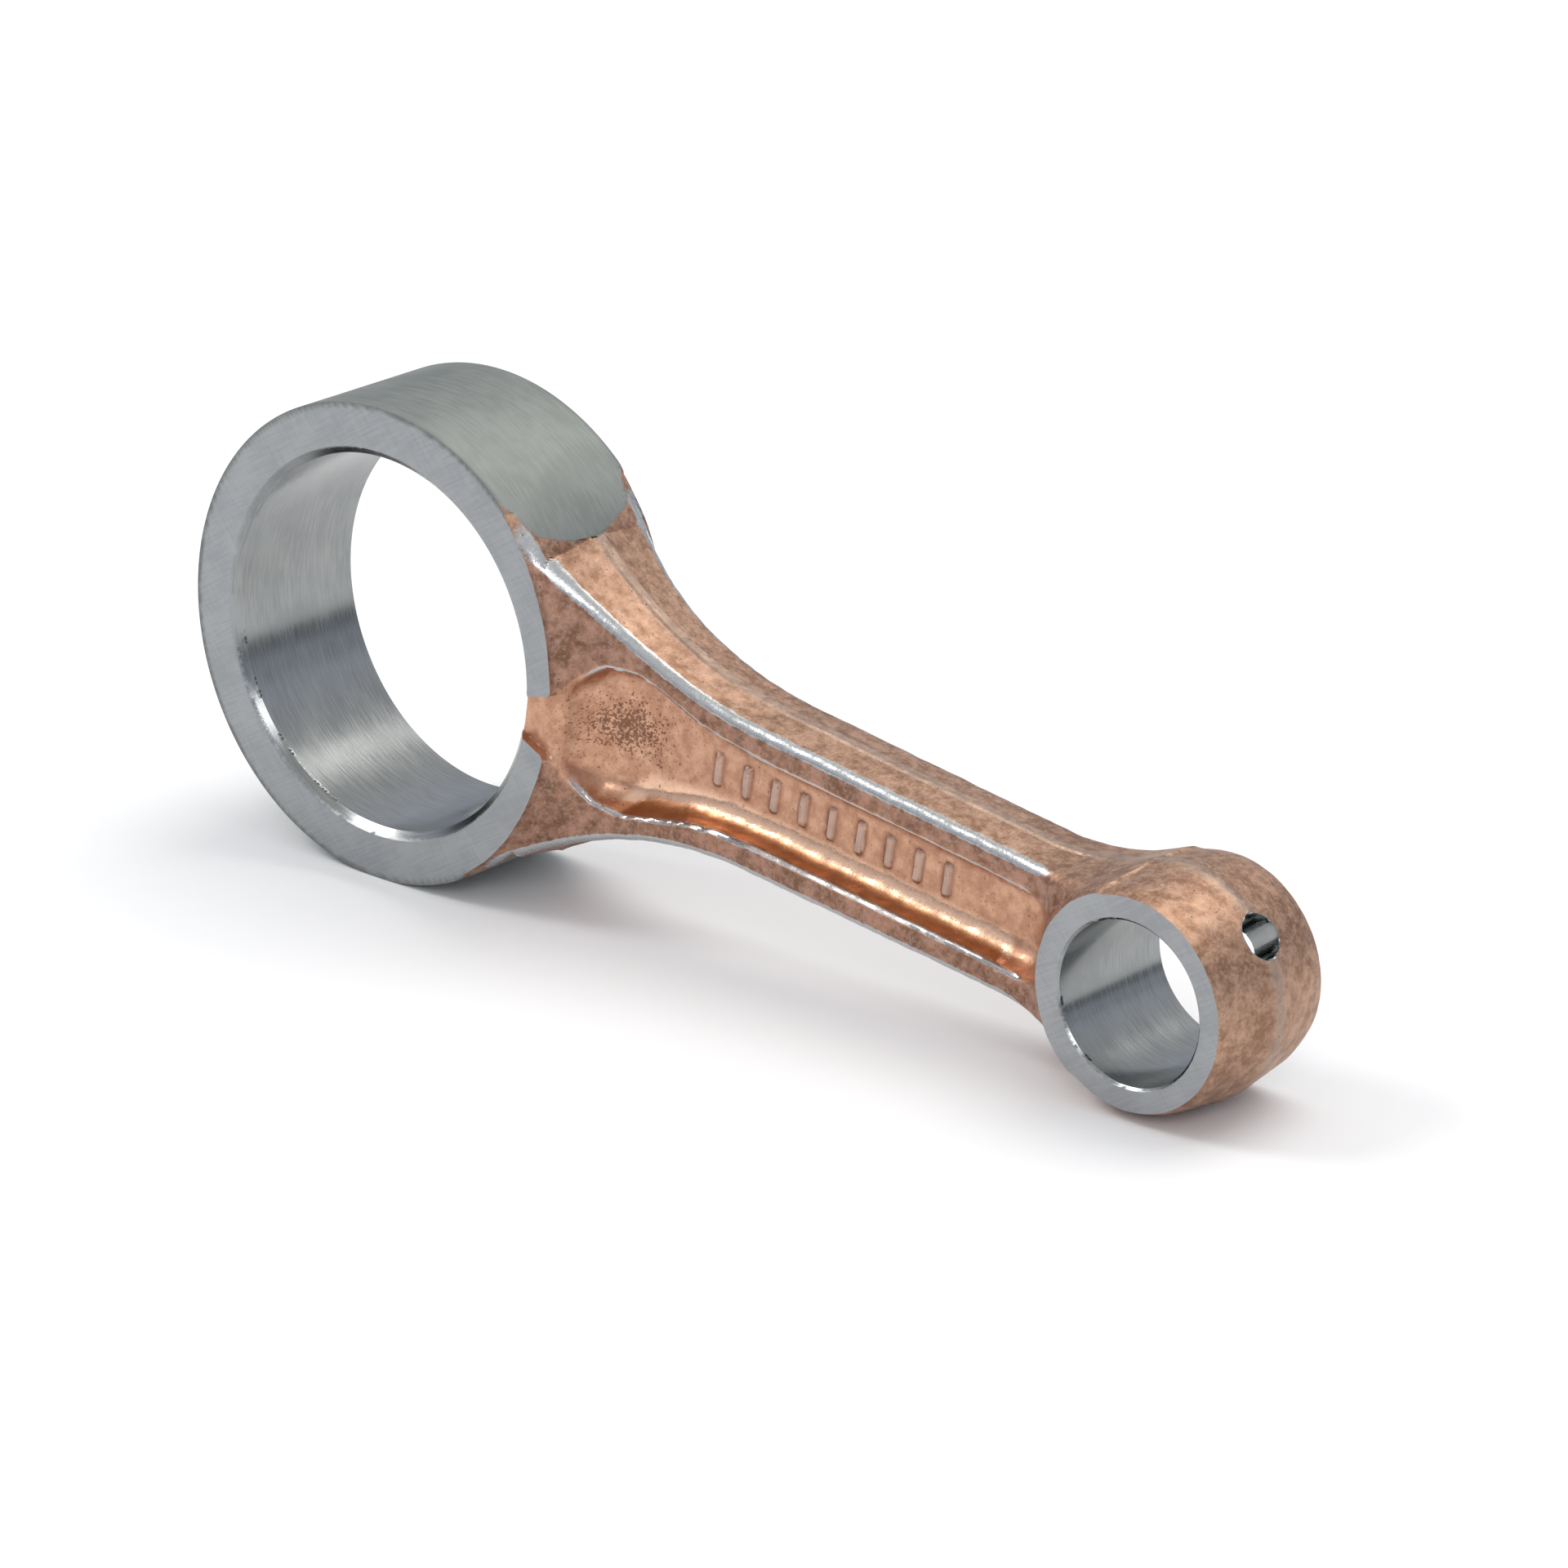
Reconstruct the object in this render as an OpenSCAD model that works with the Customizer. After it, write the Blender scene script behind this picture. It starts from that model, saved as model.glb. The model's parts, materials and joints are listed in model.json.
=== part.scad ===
// One-piece connecting rod of a small four-stroke engine, millimetres.
// The rod lies on its big end and its small end.  Origin: centre of the big-end
// bore.  +Z is up, +Y runs along both bores, +X points towards the small end.

/* [Eyes] */
// distance between the two bore centres
centre_distance = 105; // [80:0.5:130]
// big-end bore diameter, running surface of the roller cage
big_bore_d = 43; // [30:0.1:60]
// big-end outside diameter, machined all round
big_outer_d = 54.8; // [40:0.1:80]
// big-end width between its ground side faces
big_width = 19.5; // [12:0.1:30]
// chamfer at both mouths of the big-end bore
big_chamfer = 0.9; // [0.2:0.1:2]
// small-end bore diameter, running surface of the gudgeon pin
small_bore_d = 18; // [12:0.1:25]
// diameter of the small end's ground side faces
small_face_d = 23.8; // [18:0.1:36]
// small-end width between its ground side faces
small_width = 17.4; // [10:0.1:28]
// chamfer at both mouths of the small-end bore
small_chamfer = 0.3; // [0.1:0.1:1]

/* [Shank] */
// forging draft on both sides of the parting plane, degrees
draft = 7; // [3:0.5:10]
// flange thickness measured along the bores
flange_width = 10.2; // [6:0.1:16]
// half height of the shank on the parting plane, at its big-end end
shank_half_height = 8.9; // [6:0.1:14]
// slope of the shank's outer sides towards the small end, degrees
shank_taper = 0.6; // [0:0.1:3]
// height of each flange's flat edge strip
flange_height = 3.1; // [2:0.1:5]
// thickness of the web between the two pockets
web_thickness = 3.5; // [2:0.1:6]
// radius along the foot of each pocket wall
pocket_fillet = 2.5; // [1:0.1:4]
// distance from the big-end centre to the end of the straight shank
big_flare_x = 51; // [40:0.5:70]
// radius of the sweep from the shank into the big end
big_flare_r = 48; // [30:0.5:70]
// distance from the big-end centre to the start of the small-end sweep
small_flare_x = 86; // [70:0.5:100]
// radius of the sweep from the shank into the small end
small_flare_r = 30; // [15:0.5:50]

/* [Oil ways and marks] */
// width of the oil slot across each big-end side face
slot_width = 5.2; // [3:0.1:8]
// depth of the oil slot below the side face
slot_depth = 1.2; // [0.5:0.1:2.5]
// diameter of the oil hole through the small-end wall
oil_hole_d = 5; // [2:0.1:7]
// direction of the oil hole above the rod's centre line, degrees
oil_hole_angle = 45; // [0:1:90]
// width of the chamfer around the oil hole
oil_hole_chamfer = 0.4; // [0:0.1:1]
// raised bars on the web of the front side
mark_count = 9; // [0:1:12]
// distance from one raised bar to the next
mark_pitch = 4; // [3:0.1:6]
// height of the raised bars above the web
mark_rise = 0.3; // [0.1:0.05:0.6]

/* [Plating] */
// thickness of the copper layer on the forged skin
plating = 0.1; // [0.05:0.01:0.3]
// width of the trimmed flash land left bare on the parting plane
land_width = 1.2; // [0.6:0.1:3]

/* [Output] */
// sub-part to draw

/* [Hidden] */
$fn = 120;
steel_grey = [0.56, 0.58, 0.58];
copper_pink = [0.72, 0.45, 0.34];
big_r = big_outer_d / 2;
small_bore_r = small_bore_d / 2;
big_bore_r = big_bore_d / 2;
small_half = small_width / 2;
big_half = big_width / 2;
flange_half = flange_width / 2;
web_half = web_thickness / 2;
slope = tan(draft);
past = 1;                                       // how far cutters run past a face
small_ridge_r = small_face_d / 2 + small_half * slope;
end_half_height = shank_half_height - (small_flare_x - big_flare_x) * tan(shank_taper);
lie_angle = asin((big_r - small_ridge_r - plating) / centre_distance);
shoulder_x = -3;                                // axis of the dished big-end shoulder
shoulder_r = 28.8;                              // radius where that shoulder starts
shoulder_step = 0.4;                            // drop from the ground face to the shoulder
eye_step = 0.3;                                 // drop from the small end's face to the shank
big_relief_r = 70;                              // outer radii of the two relief rings
small_relief_r = 43;
machined_angle = 49;                            // where the turned rim ends, degrees
runout_r = 12;                                  // radius of the turned rim's run-out
pocket_ramp_r = 10;                             // sweep of the web up to the big end
pocket_ramp_x = 35.6;
pocket_stop_r = 6;                              // sweep of the web up to the small end
pocket_stop_x = 86.2;
channel_x = 46;                                 // start of the pocket's straight channel
channel_length = 50;
slot_end_x = 30;                                // where the oil slot has run out into the pocket
flare_x = 12;                                   // inner end of the big-end sweep, inside the ring
flare_reach = 24;                               // half height of that end
mark_start_x = 43;                              // first raised bar
mark_length = 3.6;
mark_thickness = 0.9;
rim_half = (end_half_height + shank_half_height) / 2 - flange_half * slope - flange_height;

// Lays a drawing made in X-Z down along the bores, centred on the parting plane.
module along_bores(length) {
    rotate([90, 0, 0])
        linear_extrude(length, center = true)
            children();
}

// Turns a profile drawn as [radius, distance from the parting plane] about a bore axis.
module turned(x, z) {
    translate([x, 0, z])
        rotate([90, 0, 0])
            rotate_extrude()
                children();
}

// Profile of a disc whose rim slopes by the draft on both sides of the parting plane.
module drafted_disc(ridge_r, half, sense) {
    polygon([
        [0, -half],
        [ridge_r + sense * half * slope, -half],
        [ridge_r, 0],
        [ridge_r + sense * half * slope, half],
        [0, half]
    ]);
}

// Straight part of the shank, with drafted outer sides that close in by the taper.
module shank_side(side, g) {
    half = big_half + past;
    mirror([0, 0, side])
        translate([big_flare_x, 0, shank_half_height + g])
            rotate([0, shank_taper, 0])
                rotate([90, 0, 90])
                    linear_extrude(2 * centre_distance, center = true)
                        polygon([
                            [0, 0],
                            [half, -half * slope],
                            [half, big_r],
                            [-half, big_r],
                            [-half, -half * slope]
                        ]);
}

module straight_shank(g) {
    length = small_flare_x - big_flare_x + 2 * past;
    difference() {
        translate([big_flare_x - past, -big_half, -big_r])
            cube([length, big_width, 2 * big_r]);
        for (side = [0, 1])
            shank_side(side, g);
    }
}

// Sweep from the shank out to one of the eyes.
module flare(x_from, x_to, x_sweep, half_height, radius, reach, g) {
    half = big_half + past;
    difference() {
        translate([x_from, -big_half, -reach])
            cube([x_to - x_from, big_width, 2 * reach]);
        for (side = [-1, 1])
            turned(x_sweep, side * (half_height + radius))
                drafted_disc(radius - g, half, 1);
    }
}

// Everything above the flange faces between the two eyes and above the small end's
// ground faces, removed on both sides.
module face_relief(g) {
    top = big_half + past;
    for (side = [-1, 1]) {
        turned(shoulder_x, 0)
            polygon([
                [shoulder_r + g, side * top],
                [shoulder_r + g, side * (big_half - shoulder_step + g)],
                [shoulder_r + 1.8 + g, side * (big_half - 2.1 + g)],
                [shoulder_r + 10.7, side * (flange_half + g)],
                [big_relief_r, side * (flange_half + g)],
                [big_relief_r, side * top]
            ]);
        turned(centre_distance, 0)
            polygon([
                [0, side * top],
                [0, side * small_half],
                [small_face_d / 2 + g, side * small_half],
                [small_face_d / 2 + g, side * (small_half - eye_step + g)],
                [small_face_d / 2 + 1.6 + g, side * (small_half - 1.8 + g)],
                [small_face_d / 2 + 7.6, side * (flange_half + g)],
                [small_relief_r, side * (flange_half + g)],
                [small_relief_r, side * top]
            ]);
    }
}

// Wide mouth of the pocket beside the big end.
module pocket_fan(g) {
    rotate([90, 0, 0])
        linear_extrude(big_width)
            polygon([
                [26.2, 5.2 - g],
                [31.5, 8.7 - g],
                [35, 8.2 - g],
                [40, 6.7 - g],
                [channel_x + past, rim_half + plating / 2 - g],
                [channel_x + past, -rim_half - plating / 2 + g],
                [40, -6.7 + g],
                [35, -8.2 + g],
                [31.5, -8.7 + g],
                [26.2, -5.2 + g]
            ]);
}

// Channel of the pocket along the shank, with a rounded foot.
module pocket_channel(g) {
    reach = rim_half - g;
    foot = web_half + pocket_fillet;
    flat = rim_half - pocket_fillet;
    translate([channel_x, 0, 0])
        rotate([90, 0, 90])
            linear_extrude(channel_length)
                union() {
                    translate([-big_width, -reach])
                        square([big_width - foot, 2 * reach]);
                    translate([-big_width, -flat])
                        square([big_width - web_half - g, 2 * flat]);
                    for (side = [-1, 1])
                        translate([-foot, side * flat])
                            circle(pocket_fillet - g);
                }
}

// Depth of the pocket: the web sweeps up to the side faces at both ends.
module pocket_depth(g) {
    linear_extrude(2 * big_r, center = true)
        union() {
            translate([pocket_ramp_x, -big_width])
                square([pocket_stop_x - pocket_ramp_x, big_width - web_half - g]);
            translate([pocket_ramp_x, -web_half - pocket_ramp_r])
                circle(pocket_ramp_r - g);
            translate([pocket_stop_x, -web_half - pocket_stop_r])
                circle(pocket_stop_r - g);
        }
}

// Oil slot in the side face, running out of the bore into the pocket.
module oil_slot(g) {
    translate([0, -big_half - past, g - slot_width / 2])
        cube([slot_end_x, slot_depth + past - g, slot_width - 2 * g]);
}

module pocket(g) {
    intersection() {
        union() {
            pocket_fan(g);
            pocket_channel(g);
        }
        pocket_depth(g);
    }
    oil_slot(g);
}

// Plain raised bars on the web.
module web_marks(g) {
    for (i = [0 : 1 : mark_count - 1])
        translate([mark_start_x + i * mark_pitch - g,
                   -web_half - mark_rise - g,
                   -mark_length / 2 - g])
            cube([mark_thickness + 2 * g, web_half, mark_length + 2 * g]);
}

// The forging as it leaves the dies, its forged skin grown outwards by g.
module forged_body(g) {
    difference() {
        union() {
            straight_shank(g);
            flare(flare_x, big_flare_x, big_flare_x, shank_half_height, big_flare_r,
                  flare_reach, g);
            flare(small_flare_x, centre_distance, small_flare_x, end_half_height,
                  small_flare_r, small_face_d / 2, g);
            along_bores(big_width)
                circle(big_r);
            turned(centre_distance, 0)
                drafted_disc(small_ridge_r + g, small_half, -1);
        }
        face_relief(g);
        pocket(g);
        mirror([0, 1, 0])
            pocket(g);
    }
    web_marks(g);
}

// Wedge around the big end's free side, where its rim is turned.
module rim_sector() {
    far = 2 * big_r;
    along_bores(big_width + 2 * past)
        polygon([
            [0, 0],
            [far * cos(machined_angle), far * sin(machined_angle)],
            [-far, far],
            [-far, -far],
            [far * cos(machined_angle), -far * sin(machined_angle)]
        ]);
}

// Round run-out of the turning cutter at both ends of the rim.
module rim_runouts() {
    out = big_r + runout_r;
    for (side = [-1, 1])
        translate([out * cos(machined_angle), 0, side * out * sin(machined_angle)])
            along_bores(big_width + 2 * past)
                circle(runout_r);
}

// A through bore with both mouths chamfered.
module bore(x, r, half, chamfer) {
    turned(x, 0)
        polygon([
            [0, -half - past],
            [r + chamfer + past, -half - past],
            [r, -half + chamfer],
            [r, half - chamfer],
            [r + chamfer + past, half + past],
            [0, half + past]
        ]);
}

// Radial oil hole from the crown of the small end into its bore.
module oil_hole() {
    hole_r = oil_hole_d / 2;
    mouth = small_ridge_r - oil_hole_chamfer;
    translate([centre_distance, 0, 0])
        rotate([0, 90 - oil_hole_angle, 0]) {
            cylinder(r = hole_r, h = small_ridge_r + 2 * past);
            translate([0, 0, mouth])
                cylinder(r1 = hole_r, r2 = hole_r + oil_hole_chamfer + past,
                         h = oil_hole_chamfer + past);
        }
}

module big_bore() {
    bore(0, big_bore_r, big_half, big_chamfer);
}

module small_bore() {
    bore(centre_distance, small_bore_r, small_half, small_chamfer);
}

// Slab on the parting plane that holds the bare flash land.
module land_slab() {
    translate([-big_r, -land_width / 2, -big_r])
        cube([centre_distance + 2 * big_r, land_width, 2 * big_r]);
}

module lying() {
    rotate([0, lie_angle, 0])
        children();
}

module rod_forging() {
    color(steel_grey)
        lying()
            difference() {
                union() {
                    forged_body(0);
                    intersection() {
                        forged_body(plating);
                        land_slab();
                    }
                }
                difference() {
                    rim_sector();
                    along_bores(big_width + 2 * past)
                        circle(big_r);
                }
                rim_runouts();
                big_bore();
                small_bore();
                oil_hole();
            }
}

// The plating stops at the chamfer around the big-end bore.
module plating_bore() {
    along_bores(big_width + 2 * past)
        circle(big_bore_r + big_chamfer);
}

// Skin between the forged surface and the same surface grown by the plating.
module forged_skin() {
    difference() {
        forged_body(plating);
        forged_body(0);
    }
}

module copper_plating() {
    color(copper_pink)
        lying()
            difference() {
                difference() {
                    difference() {
                        forged_skin();
                        land_slab();
                    }
                    rim_sector();
                }
                rim_runouts();
                plating_bore();
                oil_hole();
            }
}

rod_forging();
copper_plating();
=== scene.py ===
# %% [markdown]
# # A forged connecting rod
#
# The real rod is one steel forging with a thin copper coat.  It is dropped hot between two dies, trimmed
# along the line where the dies meet, copper plated, and only then ground and bored, so the copper is left
# where no tool has touched.  This script follows the same order: first the shape that the dies give, then
# the cuts, then one surface that is divided into bare steel and copper where the two meet.
#
# The frame comes first.  It gives every size and place that the rest is built on.

# %% Open the frame
import json
import math
import bpy
import numpy as np
from mathutils import Matrix, Vector


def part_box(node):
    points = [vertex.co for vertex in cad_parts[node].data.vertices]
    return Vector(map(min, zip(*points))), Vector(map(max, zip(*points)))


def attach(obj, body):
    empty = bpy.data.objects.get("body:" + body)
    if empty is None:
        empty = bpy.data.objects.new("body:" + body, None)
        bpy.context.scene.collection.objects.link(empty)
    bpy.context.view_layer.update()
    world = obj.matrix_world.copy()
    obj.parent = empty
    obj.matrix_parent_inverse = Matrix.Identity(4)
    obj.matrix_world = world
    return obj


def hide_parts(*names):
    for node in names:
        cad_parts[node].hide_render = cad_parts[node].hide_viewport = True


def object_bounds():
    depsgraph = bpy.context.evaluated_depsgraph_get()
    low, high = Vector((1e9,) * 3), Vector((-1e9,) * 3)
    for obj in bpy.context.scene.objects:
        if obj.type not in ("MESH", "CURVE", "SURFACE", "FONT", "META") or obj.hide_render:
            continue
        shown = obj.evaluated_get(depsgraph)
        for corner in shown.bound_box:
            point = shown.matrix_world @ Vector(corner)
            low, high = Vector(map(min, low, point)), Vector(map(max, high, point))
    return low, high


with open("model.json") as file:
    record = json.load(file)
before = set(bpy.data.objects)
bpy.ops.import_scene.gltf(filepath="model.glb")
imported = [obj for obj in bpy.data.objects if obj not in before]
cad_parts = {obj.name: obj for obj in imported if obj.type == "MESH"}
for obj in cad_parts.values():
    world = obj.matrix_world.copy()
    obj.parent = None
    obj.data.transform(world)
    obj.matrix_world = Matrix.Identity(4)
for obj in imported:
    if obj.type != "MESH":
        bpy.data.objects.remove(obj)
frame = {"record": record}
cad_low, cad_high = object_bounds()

MM = 0.001
mounts = {mount["name"]: mount for mount in frame["record"]["mounts"]}
eye_at = Vector(mounts["small_end_bore"]["pos_m"])
LENGTH = eye_at.length / MM
LIE = math.atan2(-eye_at.z, eye_at.x)
BIG_BORE = mounts["big_end_bore"]["dims"]["r_mm"]
EYE_BORE = mounts["small_end_bore"]["dims"]["r_mm"]
BIG_HALF = abs(mounts["big_end_front_face"]["pos_m"][1]) / MM
EYE_HALF = abs(mounts["small_end_front_face"]["pos_m"][1]) / MM
BIG_RIM = -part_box("rod_forging")[0].x / MM
print(f"centres {LENGTH:.1f} mm apart, lying {math.degrees(LIE):.2f} degrees nose down")

# %% [markdown]
# ## Joining shapes with a radius
#
# The forging could be modelled from primitives with booleans and bevels, but its rounded, blended corners
# would fight both.  It is described here by a number at every point instead: negative inside, zero on the
# skin, positive outside.  The larger of two such numbers is the overlap of two shapes and the smaller is
# their union.  A die has no sharp corners, so both are written with a radius.
#
# All lengths are millimetres in the rod's own frame: x runs from the big end to the small end, y along the
# bores with the marked side at -y, and z across the shank.  The dies part on the plane y = 0.

# %% Corner helpers
def overlap(a, b, radius):
    """Overlap of two shapes with its edge rounded."""
    corner = np.hypot(np.maximum(a + radius, 0), np.maximum(b + radius, 0))
    return np.minimum(np.maximum(a, b), -radius) + corner


def union(a, b, radius):
    """Union of two shapes with a fillet along their join."""
    return -overlap(-a, -b, radius)


def ease(value, low, high):
    """0 below low, 1 above high, with a smooth change between."""
    t = np.clip((value - low) / (high - low), 0, 1)
    return t * t * (3 - 2 * t)

print(f"two faces 0 mm away, rounded by 1 mm: the corner is {overlap(0.0, 0.0, 1.0):.2f} mm off")

# %% [markdown]
# ## Outline of the forging
#
# Seen along the bores, the shank is nearly straight and opens out in one large sweep to the big end and a
# smaller one to the small end.  Each sweep is part of a circle that touches the straight part at big_x or
# at eye_x.

# %% Outline along the bores
SHANK = dict(big_x=51.0, big_r=48.0, big_h=8.9, eye_x=86.0, eye_r=30.0, eye_h=8.53)
OUTLINE_FROM, OUTLINE_END = 12.0, LENGTH - 5.0      # the outline is hidden in the two ends beyond these


def shank_outline(x, z):
    big = SHANK["big_r"] - np.hypot(x - SHANK["big_x"], z - SHANK["big_h"] - SHANK["big_r"])
    eye = SHANK["eye_r"] - np.hypot(x - SHANK["eye_x"], z - SHANK["eye_h"] - SHANK["eye_r"])
    run = (x - SHANK["big_x"]) / (SHANK["eye_x"] - SHANK["big_x"])
    straight = z - SHANK["big_h"] + run * (SHANK["big_h"] - SHANK["eye_h"])
    side = np.where(x < SHANK["big_x"], big, np.where(x < SHANK["eye_x"], straight, eye))
    return np.maximum(np.maximum(side, OUTLINE_FROM - x), x - OUTLINE_END)

print(f"shank {2 * SHANK['big_h']:.1f} mm high at its start, {2 * SHANK['eye_h']:.1f} mm at its end")

# %% [markdown]
# The big end is forged oversize and turned later.  The sides lean in by 7 degrees from the parting plane,
# because a forging has to come out of its dies, apart from a narrow flat strip where the flash was trimmed.
# The small end is a plain drum whose widest line, the ridge, follows from its faces and that same lean.

# %% Sides of the forging
DRAFT = math.tan(math.radians(7.0))
LAND = 0.6                # half width of the trimmed strip
LAND_BLUR = 0.15
FLASH = dict(high=0.24, lower=0.17, begin=88, end=97)
BLANK_EXTRA = 2.2         # how much larger the big end is forged than turned
CUT_ANGLE = math.radians(50.0)
EYE_FACE = 11.9           # radius of the small end's ground faces
EYE_RIDGE = EYE_FACE + EYE_HALF * DRAFT
EYE_NECK_FILLET = 0.5


def forged_sides(x, y, z):
    z = np.abs(z)
    beyond_cut = x * math.sin(CUT_ANGLE) - z * math.cos(CUT_ANGLE)
    blank = np.maximum(np.hypot(x, z) - BIG_RIM - BLANK_EXTRA, beyond_cut)
    plan = np.minimum(shank_outline(x, z), blank)
    plan = union(plan, np.hypot(x - LENGTH, z) - EYE_RIDGE, EYE_NECK_FILLET)
    y = np.abs(y)
    flash = FLASH["high"] - FLASH["lower"] * ease(x, FLASH["begin"], FLASH["end"])
    flash = flash * (1 - ease(y, LAND - LAND_BLUR, LAND + LAND_BLUR))
    return (plan - flash + np.maximum(y, LAND) * DRAFT) / math.hypot(1, DRAFT)

print(f"small end's ridge has radius {EYE_RIDGE:.2f} mm")

# %% [markdown]
# The thickness along the bores changes too.  The big end's shoulder is a shallow dish that falls away from
# the ground face and flattens into the flange, and the flange swells again into the small end.  Both fade
# exponentially, which gives the long, soft blend of a worn die.

# %% Faces of the forging
FLANGE_HALF = 5.05        # half the width of the shank, along the bores
SHOULDER = dict(x=-4.4, r=30.2, step=4.0, fade=4.4, wall=2.5)
EYE_FADE = dict(step=3.6, fade=2.22, inside=3.0)


def forged_faces(x, y, z):
    out = np.hypot(x - SHOULDER["x"], z) - SHOULDER["r"]
    dish = SHOULDER["step"] * np.exp(-np.maximum(out, 0) / SHOULDER["fade"])
    wall = SHOULDER["wall"] * np.maximum(-out, 0)
    near = np.maximum(np.hypot(x - LENGTH, z) - EYE_FACE, -EYE_FADE["inside"])
    swell = EYE_FADE["step"] * np.exp(-near / EYE_FADE["fade"])
    slope = np.where(out > 0, dish / SHOULDER["fade"], SHOULDER["wall"]) + swell / EYE_FADE["fade"]
    return (np.abs(y) - FLANGE_HALF - dish - wall - swell) / np.hypot(1, slope)

print(f"flange {2 * FLANGE_HALF:.1f} mm wide, shoulder {SHOULDER['step']:.1f} mm above it")

# %% [markdown]
# ## Pockets and oil slots
#
# A pocket on each side leaves a thin web, which makes the I-section.  It is wide beside the big end, where
# its floor ramps up to the shoulder, then narrows into a straight channel.  Its foot has a large fillet.
# A short oil slot joins it to the bore.  Both are cutters that are taken out of the forging.

# %% Pockets
WEB_HALF = 1.75           # half the thickness of the web between the pockets
RAMP = dict(x=35.6, r=10.0)
STOP = dict(x=86.2, r=6.0)
POCKET_X = [22.0, 24.5, 27.0, 30.0, 34.0, 38.0, 42.0, 46.0, 52.0, 88.0, 92.0]
POCKET_HALF = [2.6, 4.0, 6.3, 8.0, 8.35, 7.3, 6.1, 5.4, 5.1, 4.85, 4.6]
POCKET_LEAN = 0.14
POCKET_FILLET = 2.4
SLOT = dict(half=2.35, depth=1.2, end=30.0, flare=0.36, flare_length=6, corner=0.5, join=1.0)


def pocket_shape(x, y, z):
    y, z = np.abs(y), np.abs(z)
    lean = POCKET_LEAN * (FLANGE_HALF - y)
    walls = z - np.interp(x, POCKET_X, POCKET_HALF) + np.maximum(lean, 0)
    ramp = np.hypot(x - RAMP["x"], y - WEB_HALF - RAMP["r"]) - RAMP["r"]
    stop = np.hypot(x - STOP["x"], y - WEB_HALF - STOP["r"]) - STOP["r"]
    floor = np.where(x < RAMP["x"], ramp, np.where(x < STOP["x"], WEB_HALF - y, stop))
    pocket = overlap(walls, floor, POCKET_FILLET)
    half = SLOT["half"] + SLOT["flare"] * np.clip(x - BIG_BORE, 0, SLOT["flare_length"])
    slot = overlap(z - half, BIG_HALF - SLOT["depth"] - y, SLOT["corner"])
    slot = np.maximum(np.maximum(slot, x - SLOT["end"]), -x)
    return union(pocket, slot, SLOT["join"])

print(f"web {2 * WEB_HALF:.1f} mm thick, pocket up to {2 * max(POCKET_HALF):.1f} mm wide")

# %% [markdown]
# ## Raised bars
#
# On the real part the front web carries raised characters.  Here a row of plain bars of about the same
# height takes their place.  One bar is drawn, and rounding x to the nearest bar's place repeats it.

# %% Bars
MARKS = dict(first=43.45, pitch=4.0, count=9, thick=0.45, tall=1.8, rise=0.32, corner=0.35, crown=0.22)


def raised_bars(x, y, z):
    step = np.clip(np.round((x - MARKS["first"]) / MARKS["pitch"]), 0, MARKS["count"] - 1)
    along = np.abs(x - MARKS["first"] - step * MARKS["pitch"]) - MARKS["thick"]
    plan = overlap(along, np.abs(z) - MARKS["tall"], MARKS["corner"])
    top = np.where(y < 0, -y - WEB_HALF - MARKS["rise"], 1.0)
    return overlap(plan, top, MARKS["crown"])

print(f"{MARKS['count']} bars over {MARKS['pitch'] * (MARKS['count'] - 1):.0f} mm")

# %% [markdown]
# ## The forging as it leaves the dies
#
# Hot dies and shot blasting never leave a true surface, so the forged skin gets a waviness of a few
# hundredths of a millimetre, made of seven crossing waves.  It also makes the border between ground steel
# and copper slightly ragged.  The copper coat lies outside the forging, so its thickness is added here.

# %% Forged skin
PLATING = 0.1             # thickness of the copper coat
EDGE_ROUND, POCKET_ROUND, BAR_FILLET = 0.95, 0.45, 0.3
WAVE_HEIGHT = 0.022
WAVES = [(0.9, 0.4, 1.1, 0.3), (-0.5, 1.3, 0.8, 1.9), (1.7, -1.1, 0.6, 4.1), (-1.4, 0.7, 2.1, 2.6),
         (2.9, 1.9, -1.7, 0.9), (-2.3, 3.1, 2.2, 5.2), (3.7, -2.6, 3.3, 3.7)]


def waviness(x, y, z):
    total = 0
    for a, b, c, phase in WAVES:
        total = total + np.sin(a * x + b * y + c * z + phase) / math.sqrt(a * a + b * b + c * c)
    return WAVE_HEIGHT * total


def forged(x, y, z):
    body = overlap(forged_sides(x, y, z), forged_faces(x, y, z), EDGE_ROUND)
    body = overlap(body, -pocket_shape(x, y, z), POCKET_ROUND)
    body = union(body, raised_bars(x, y, z), BAR_FILLET)
    return body - PLATING + waviness(x, y, z)

print(f"web centre is {forged(60.0, 0.0, 0.0):.2f} mm inside the forged skin")

# %% [markdown]
# ## What the machines cut away
#
# The side faces are ground flat, both bores are bored and honed with broken edges, and the big end's rim is
# turned until the cutter runs out on a round path just before the shank.  An oil hole is drilled through
# the crown of the small end.  The number is positive wherever a tool has been.

# %% Machined surfaces
RUNOUT = 9.0              # radius of the turning cutter's way out
OIL = dict(r=2.5, angle=math.radians(45.0), broken=0.35)
BIG_BROKEN, EYE_BROKEN = 0.9, 0.3
MID_SHANK = 0.6 * LENGTH  # anywhere on the shank, to tell the two ends apart


def own_half(x):
    """Half the width over the ground faces of the nearer end."""
    return np.where(x < MID_SHANK, BIG_HALF, EYE_HALF)


def bore_cut(r, y, radius, half, broken):
    cone = (radius + broken + np.abs(y) - half - r) / math.sqrt(2)
    return np.maximum(radius - r, cone)


def rim_cut(x, z):
    sin, cos = math.sin(CUT_ANGLE), math.cos(CUT_ANGLE)
    rim = np.minimum(np.hypot(x, z) - BIG_RIM, np.abs(z) * cos - x * sin)
    out = BIG_RIM + RUNOUT
    return np.maximum(rim, RUNOUT - np.hypot(x - out * cos, np.abs(z) - out * sin))


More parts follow.
